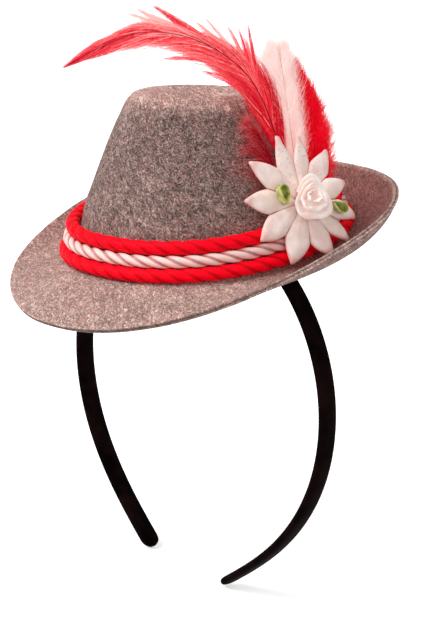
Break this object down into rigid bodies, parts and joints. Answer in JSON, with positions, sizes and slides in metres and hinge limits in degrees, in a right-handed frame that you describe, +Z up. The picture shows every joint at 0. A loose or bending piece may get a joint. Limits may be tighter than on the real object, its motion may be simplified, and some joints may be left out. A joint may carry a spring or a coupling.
{
  "type": "mini tyrolean hat on a headband",
  "caption": "Small felt hat with a creased crown, curled brim, twisted cord trim, padded ribbon flower and feathers, carried on a curved headband that grips the head.",
  "frame": {"origin": "the underside of the headband at its top centre, where it sits on the head", "axes": "+Z up out of the head, -Y the way the wearer faces, +X the wearer's left"},
  "size_m": [0.1422, 0.1423, 0.2203],
  "materials": {
    "grey_felt": "heather grey-brown wool felt, matte",
    "red_cord": "twisted satin cord, bright red",
    "white_cord": "twisted satin cord, warm white",
    "white_satin": "soft satin, warm white with a pink cast",
    "green_ribbon": "narrow satin ribbon, olive green",
    "red_feather": "dyed hackle feather, red",
    "white_down": "down feather, white with a pink cast",
    "red_down": "dyed down feather, deep red",
    "headband_satin": "black satin cover, slight sheen"
  },
  "bodies": {
    "root": {"headband": "headband_satin", "felt_hat": "grey_felt", "cord_lower_red": "red_cord", "cord_middle_white": "white_cord", "cord_upper_red": "red_cord", "petal_01": "white_satin", "petal_02": "white_satin", "petal_03": "white_satin", "petal_04": "white_satin", "petal_05": "white_satin", "petal_06": "white_satin", "petal_07": "white_satin", "petal_08": "white_satin", "petal_09": "white_satin", "petal_10": "white_satin", "petal_11": "white_satin", "ribbon_rose": "white_satin", "leaf_loop_front": "green_ribbon", "leaf_loop_back": "green_ribbon", "feather_red_long": "red_feather", "plume_white": "white_down", "plume_red_back": "red_down", "plume_red_front": "red_down"}
  },
  "joints": []
}
